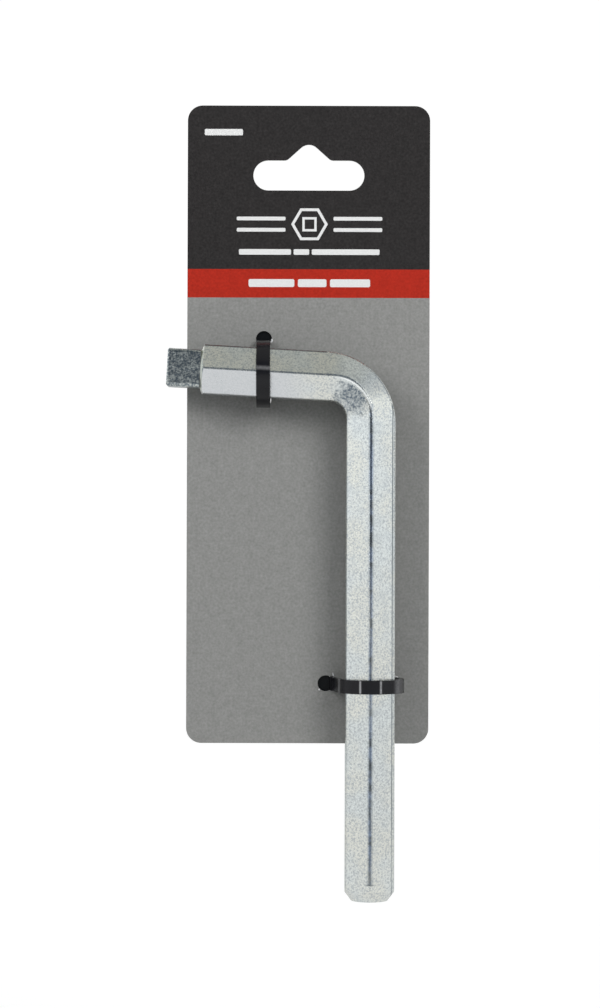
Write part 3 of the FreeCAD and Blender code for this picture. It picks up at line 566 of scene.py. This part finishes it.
def make_camera():
    """A long lens, level and square to the card."""
    data = bpy.data.cameras.new("camera")
    data.sensor_width = 36
    data.lens = CAMERA_LENS
    data.clip_start, data.clip_end = 0.01, 50
    camera = bpy.data.objects.new("camera", data)
    camera.location = CAMERA_AIM + Vector((0, -CAMERA_DISTANCE, 0))
    camera.rotation_mode = "QUATERNION"
    upright = Vector((0, 1, 0)).to_track_quat("-Z", "Z")
    camera.rotation_quaternion = upright @ Quaternion((0, 0, 1), CAMERA_ROLL)
    bpy.context.scene.collection.objects.link(camera)
    bpy.context.scene.camera = camera


def studio_world():
    """
    The studio that the bright metal mirrors: soft boxes on both sides with a bright rim, a pale ceiling and
    table, and the dark room in front. The camera sees a plain white backdrop, and so do mirror rays that go
    behind.
    """
    world = bpy.data.worlds.new("studio")
    bpy.context.scene.world = world
    world.use_nodes = True
    g = Graph(world.node_tree)
    x, y, z = g.split(g.node("ShaderNodeTexCoord").outputs["Generated"])
    angle = g.math("ARCTAN2", x, g.math("MULTIPLY", y, -1.0))
    turn = g.math("MULTIPLY_ADD", angle, 0.5 / math.pi, 0.5)
    rise = g.math("MULTIPLY_ADD", z, 0.5, 0.5)
    # The soft boxes: their level by the angle in degrees from straight in front, and by the height.
    peak = 8.0
    boxes = [(-180, 0.9), (-122, 0.9), (-100, 0.75), (-84, 0.75), (-60, 0.89), (-45, 0.85),
             (-38.9, 0.95), (-38.2, RIM_LIGHT), (-36.6, RIM_LIGHT), (-35.9, 0.25), (-33, 0.0),
             (33, 0.0), (35.9, 0.25), (36.6, RIM_LIGHT), (38.2, RIM_LIGHT), (38.9, 0.95),
             (45, 0.85), (60, 0.88), (84, 0.62), (92, 0.10), (108, 0.10), (122, 0.9), (180, 0.9)]
    round_level = g.ramp(turn, [(around / 360 + 0.5, level / peak) for around, level in boxes], "LINEAR")
    height_level = g.ramp(rise, [(0.0, 0.10), (0.30, 0.60), (0.45, 0.85), (0.50, 1.0), (0.55, 1.0),
                                 (0.65, 0.90), (0.725, 0.70), (0.805, 0.50), (0.875, 0.12), (1.0, 0.04)])
    boxes_level = g.math("MULTIPLY", g.math("MULTIPLY", round_level, peak), height_level)
    ceiling = g.ramp(rise, [(0.640, 0.0), (0.648, 0.5), (0.660, 0.5), (0.668, 0.0), (0.80, 0.0),
                            (0.90, 0.26), (1.0, 0.29)])
    table = g.ramp(rise, [(0.0, 0.40), (0.10, 0.38), (0.20, 0.12), (0.30, 0.0)])
    room = (0.085, 0.105, 0.135)
    light = g.total(room, g.scaled((1.0, 1.0, 0.985), boxes_level), g.scaled((1.20, 1.14, 0.94), ceiling),
                    g.scaled((0.98, 1.0, 1.03), table))
    tent = g.node("ShaderNodeBackground")
    g.link(light, tent.inputs["Color"])
    plain = g.node("ShaderNodeBackground")
    plain.inputs["Color"].default_value = (1, 1, 1, 1)
    plain.inputs["Strength"].default_value = BACKDROP
    path = g.node("ShaderNodeLightPath")
    mirrored = g.math("MAXIMUM", path.outputs["Is Glossy Ray"], path.outputs["Is Transmission Ray"])
    behind = g.math("GREATER_THAN", y, 0.35)
    backdrop = g.math("MULTIPLY", mirrored, behind)
    chosen = g.node("ShaderNodeMixShader")
    g.link(g.math("MAXIMUM", path.outputs["Is Camera Ray"], backdrop), chosen.inputs[0])
    g.link(tent.outputs[0], chosen.inputs[1])
    g.link(plain.outputs[0], chosen.inputs[2])
    g.link(chosen.outputs[0], g.node("ShaderNodeOutputWorld").inputs["Surface"])


def soft_lamp(name, turn, rise, power, size=0.40, distance=0.9):
    """A large square lamp aimed at the middle of the card, 'turn' degrees to the right and 'rise' above."""
    turn, rise = math.radians(turn), math.radians(rise)
    offset = distance * Vector((math.sin(turn) * math.cos(rise), -math.cos(turn) * math.cos(rise),
                                math.sin(rise)))
    data = bpy.data.lights.new(name, "AREA")
    data.shape = "SQUARE"
    data.size = size
    data.energy = power
    lamp = bpy.data.objects.new(name, data)
    lamp.location = CARD_MIDDLE + offset
    lamp.rotation_mode = "QUATERNION"
    lamp.rotation_quaternion = (-offset).to_track_quat("-Z", "Y")
    lamp.visible_glossy = False
    bpy.context.scene.collection.objects.link(lamp)


def make_floor():
    """
    A wide pale floor under the hanging pack, which goes to white for the camera and keeps a soft shadow. It
    is clear from below.
    """
    bpy.ops.mesh.primitive_circle_add(vertices=96, radius=FLOOR_RADIUS, fill_type="NGON",
                                      location=(0, 0, BAR_LOW.z - FLOOR_DROP))
    floor = bpy.context.object
    floor.name = "floor"
    material, g = new_material("pale_floor")
    path = g.node("ShaderNodeLightPath")
    by_camera = path.outputs["Is Camera Ray"]
    glow_share = 0.5
    seen = g.math("MAXIMUM", g.math("MAXIMUM", by_camera, path.outputs["Is Glossy Ray"]),
                  path.outputs["Is Transmission Ray"])
    point = g.split(g.place())
    away = g.math("DIVIDE", g.distance(point["X"], point["Y"]), FLOOR_RADIUS)
    brightest = 2.0
    glow_stops = [(far / FLOOR_RADIUS, level / brightest) for far, level in FLOOR_GLOW]
    glow_level = g.ramp(away, glow_stops, "LINEAR")
    cloth = g.node("ShaderNodeBsdfDiffuse")
    cloth_colour = g.mix(by_camera, (0.52, 0.52, 0.52, 1), (0.92, 0.92, 0.92, 1))
    g.link(cloth_colour, cloth.inputs["Color"])
    glow = g.node("ShaderNodeEmission")
    for_camera = g.math("MULTIPLY_ADD", glow_level, brightest, -FLOOR_MIRRORED)
    g.link(g.math("MULTIPLY_ADD", by_camera, for_camera, FLOOR_MIRRORED), glow.inputs["Strength"])
    mixed = g.node("ShaderNodeMixShader")
    g.link(g.math("MULTIPLY", seen, glow_share), mixed.inputs[0])
    g.link(cloth.outputs[0], mixed.inputs[1])
    g.link(glow.outputs[0], mixed.inputs[2])
    open_below = g.node("ShaderNodeMixShader")
    g.link(g.node("ShaderNodeNewGeometry").outputs["Backfacing"], open_below.inputs[0])
    g.link(mixed.outputs[0], open_below.inputs[1])
    g.link(g.node("ShaderNodeBsdfTransparent").outputs[0], open_below.inputs[2])
    g.link(open_below.outputs[0], g.node("ShaderNodeOutputMaterial").inputs["Surface"])
    dress(floor, material)


# ---- the scene -----------------------------------------------------------------------------------


def main():
    scene = bpy.context.scene
    scene.view_settings.view_transform = "Standard"
    make_camera()
    studio_world()
    soft_lamp("key", 33, 24, 4.1)
    soft_lamp("fill", -45, 27, 2.9)
    make_floor()
    nylon = black_nylon()
    dress(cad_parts["valve_spanner"], zinc_plate())
    dress(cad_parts["hang_card"], printed_card())
    for node in ("upper_cable_tie", "lower_cable_tie", "upper_tie_pawl", "lower_tie_pawl"):
        dress(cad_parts[node], nylon)
    print_header(white_ink())
    tear_fibres(torn_paper())
    window_gap_shade(nylon)


main()
